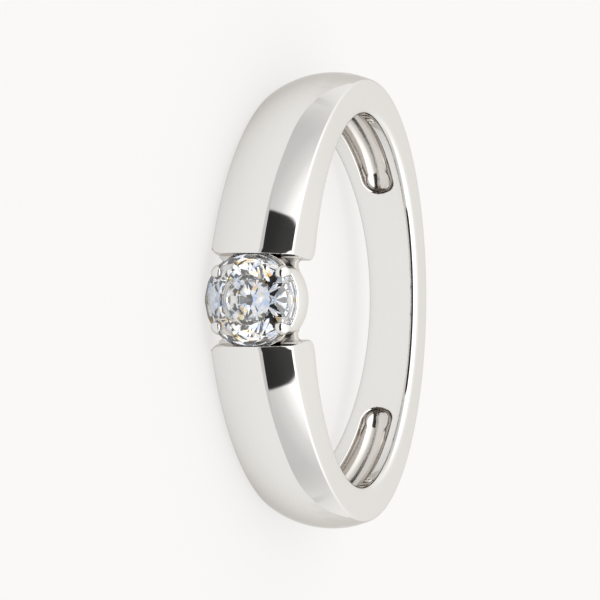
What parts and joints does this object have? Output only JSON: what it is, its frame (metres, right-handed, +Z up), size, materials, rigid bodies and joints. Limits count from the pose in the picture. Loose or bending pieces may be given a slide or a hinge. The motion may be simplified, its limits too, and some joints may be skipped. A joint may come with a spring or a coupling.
{
  "type": "solitaire ring",
  "caption": "Solitaire ring lying on its side: a domed band whose shoulders widen to a gap that holds a round brilliant in a small clawed collet.",
  "frame": {"origin": "centre of the ring's box, at the level that the ring rests on; the finger axis is 1.04 mm behind it", "axes": "+Z up, along the finger hole; -Y from the finger axis to the stone; X across the two shoulders"},
  "size_m": [0.0212, 0.0232, 0.0045],
  "materials": {
    "white_gold": "high polish, rhodium plated",
    "diamond": "clear, polished facets"
  },
  "bodies": {
    "root": {"band": "white_gold", "stone": "diamond"}
  },
  "joints": []
}
